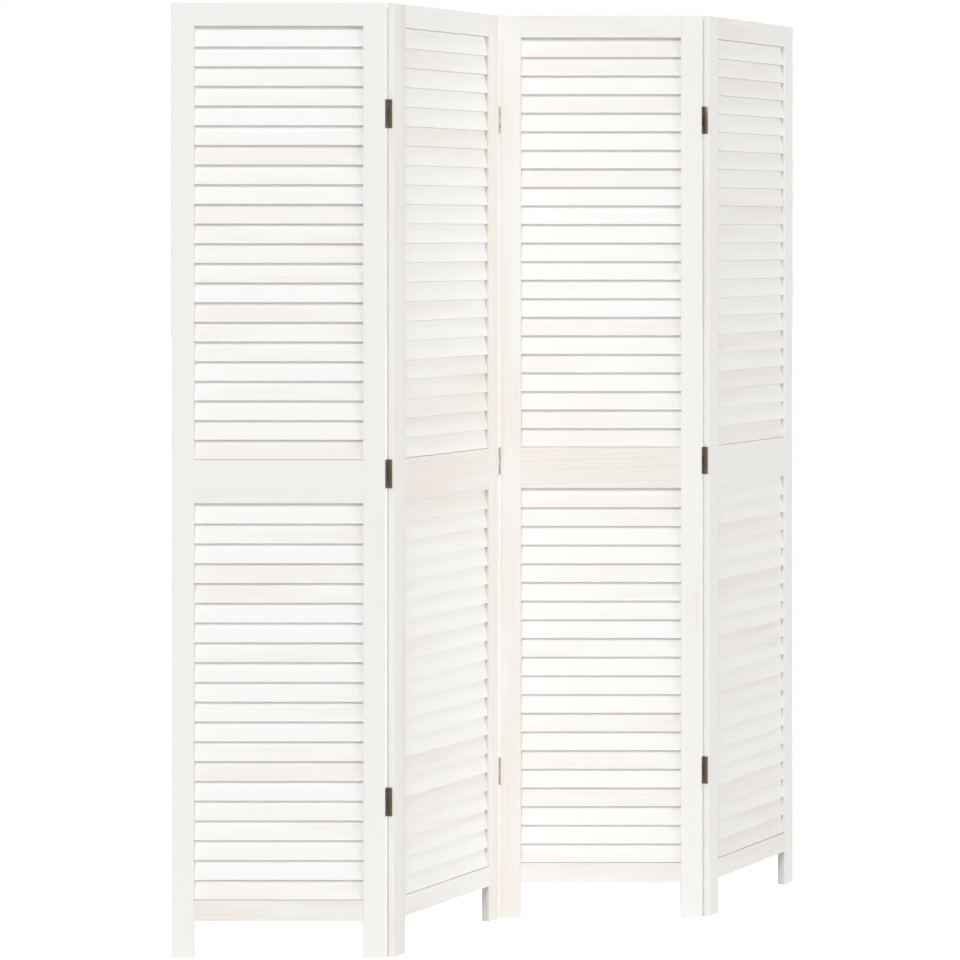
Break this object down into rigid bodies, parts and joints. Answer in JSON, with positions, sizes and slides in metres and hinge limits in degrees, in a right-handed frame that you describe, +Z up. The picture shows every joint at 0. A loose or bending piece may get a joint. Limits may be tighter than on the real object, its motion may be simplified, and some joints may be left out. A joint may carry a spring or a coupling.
{
  "type": "folding screen",
  "caption": "Folding louvred wooden screen: hinged panels with fixed slats between stiles and rails, standing on their stiles in a zigzag.",
  "frame": {"origin": "on the floor, under the middle of the standing zigzag's box", "axes": "+X along the screen to the viewer's right, +Y to the back, +Z up; the panels stand at 30 degrees to X in turn"},
  "size_m": [1.32, 0.1972, 1.66],
  "materials": {
    "frame_wood": "whitewashed, matt, with the grain showing faintly",
    "slat_wood": "whitewashed, matt, smoother and a little whiter than the frame",
    "hinge_leaf": "antique bronze, satin, rubbed brighter on the knuckles",
    "hinge_pin": "plain steel wire"
  },
  "bodies": {
    "panel_1": {"panel_1_left_stile": "frame_wood", "panel_1_right_stile": "frame_wood", "panel_1_top_rail": "frame_wood", "panel_1_mid_rail": "frame_wood", "panel_1_bottom_rail": "frame_wood", "panel_1_upper_slats": "slat_wood", "panel_1_lower_slats": "slat_wood", "joint_1_low_hinge_left_leaf": "hinge_leaf", "joint_1_middle_hinge_left_leaf": "hinge_leaf", "joint_1_top_hinge_left_leaf": "hinge_leaf", "joint_1_low_hinge_pin": "hinge_pin", "joint_1_middle_hinge_pin": "hinge_pin", "joint_1_top_hinge_pin": "hinge_pin"},
    "panel_2": {"panel_2_left_stile": "frame_wood", "panel_2_right_stile": "frame_wood", "panel_2_top_rail": "frame_wood", "panel_2_mid_rail": "frame_wood", "panel_2_bottom_rail": "frame_wood", "panel_2_upper_slats": "slat_wood", "panel_2_lower_slats": "slat_wood", "joint_1_low_hinge_right_leaf": "hinge_leaf", "joint_1_middle_hinge_right_leaf": "hinge_leaf", "joint_1_top_hinge_right_leaf": "hinge_leaf", "joint_2_low_hinge_left_leaf": "hinge_leaf", "joint_2_middle_hinge_left_leaf": "hinge_leaf", "joint_2_top_hinge_left_leaf": "hinge_leaf", "joint_2_low_hinge_pin": "hinge_pin", "joint_2_middle_hinge_pin": "hinge_pin", "joint_2_top_hinge_pin": "hinge_pin"},
    "panel_3": {"panel_3_left_stile": "frame_wood", "panel_3_right_stile": "frame_wood", "panel_3_top_rail": "frame_wood", "panel_3_mid_rail": "frame_wood", "panel_3_bottom_rail": "frame_wood", "panel_3_upper_slats": "slat_wood", "panel_3_lower_slats": "slat_wood", "joint_2_low_hinge_right_leaf": "hinge_leaf", "joint_2_middle_hinge_right_leaf": "hinge_leaf", "joint_2_top_hinge_right_leaf": "hinge_leaf", "joint_3_low_hinge_left_leaf": "hinge_leaf", "joint_3_middle_hinge_left_leaf": "hinge_leaf", "joint_3_top_hinge_left_leaf": "hinge_leaf", "joint_3_low_hinge_pin": "hinge_pin", "joint_3_middle_hinge_pin": "hinge_pin", "joint_3_top_hinge_pin": "hinge_pin"},
    "panel_4": {"panel_4_left_stile": "frame_wood", "panel_4_right_stile": "frame_wood", "panel_4_top_rail": "frame_wood", "panel_4_mid_rail": "frame_wood", "panel_4_bottom_rail": "frame_wood", "panel_4_upper_slats": "slat_wood", "panel_4_lower_slats": "slat_wood", "joint_3_low_hinge_right_leaf": "hinge_leaf", "joint_3_middle_hinge_right_leaf": "hinge_leaf", "joint_3_top_hinge_right_leaf": "hinge_leaf"}
  },
  "joints": [
    {"name": "fold_1", "type": "hinge", "parent": "panel_1", "child": "panel_2", "pos_m": [-0.3306, -0.08689, 0], "axis": [0, 0, 1], "range_deg": [-60, 120]},
    {"name": "fold_2", "type": "hinge", "parent": "panel_2", "child": "panel_3", "pos_m": [0, 0.08689, 0], "axis": [0, 0, -1], "range_deg": [-60, 120]},
    {"name": "fold_3", "type": "hinge", "parent": "panel_3", "child": "panel_4", "pos_m": [0.3306, -0.08689, 0], "axis": [0, 0, 1], "range_deg": [-60, 120]}
  ]
}
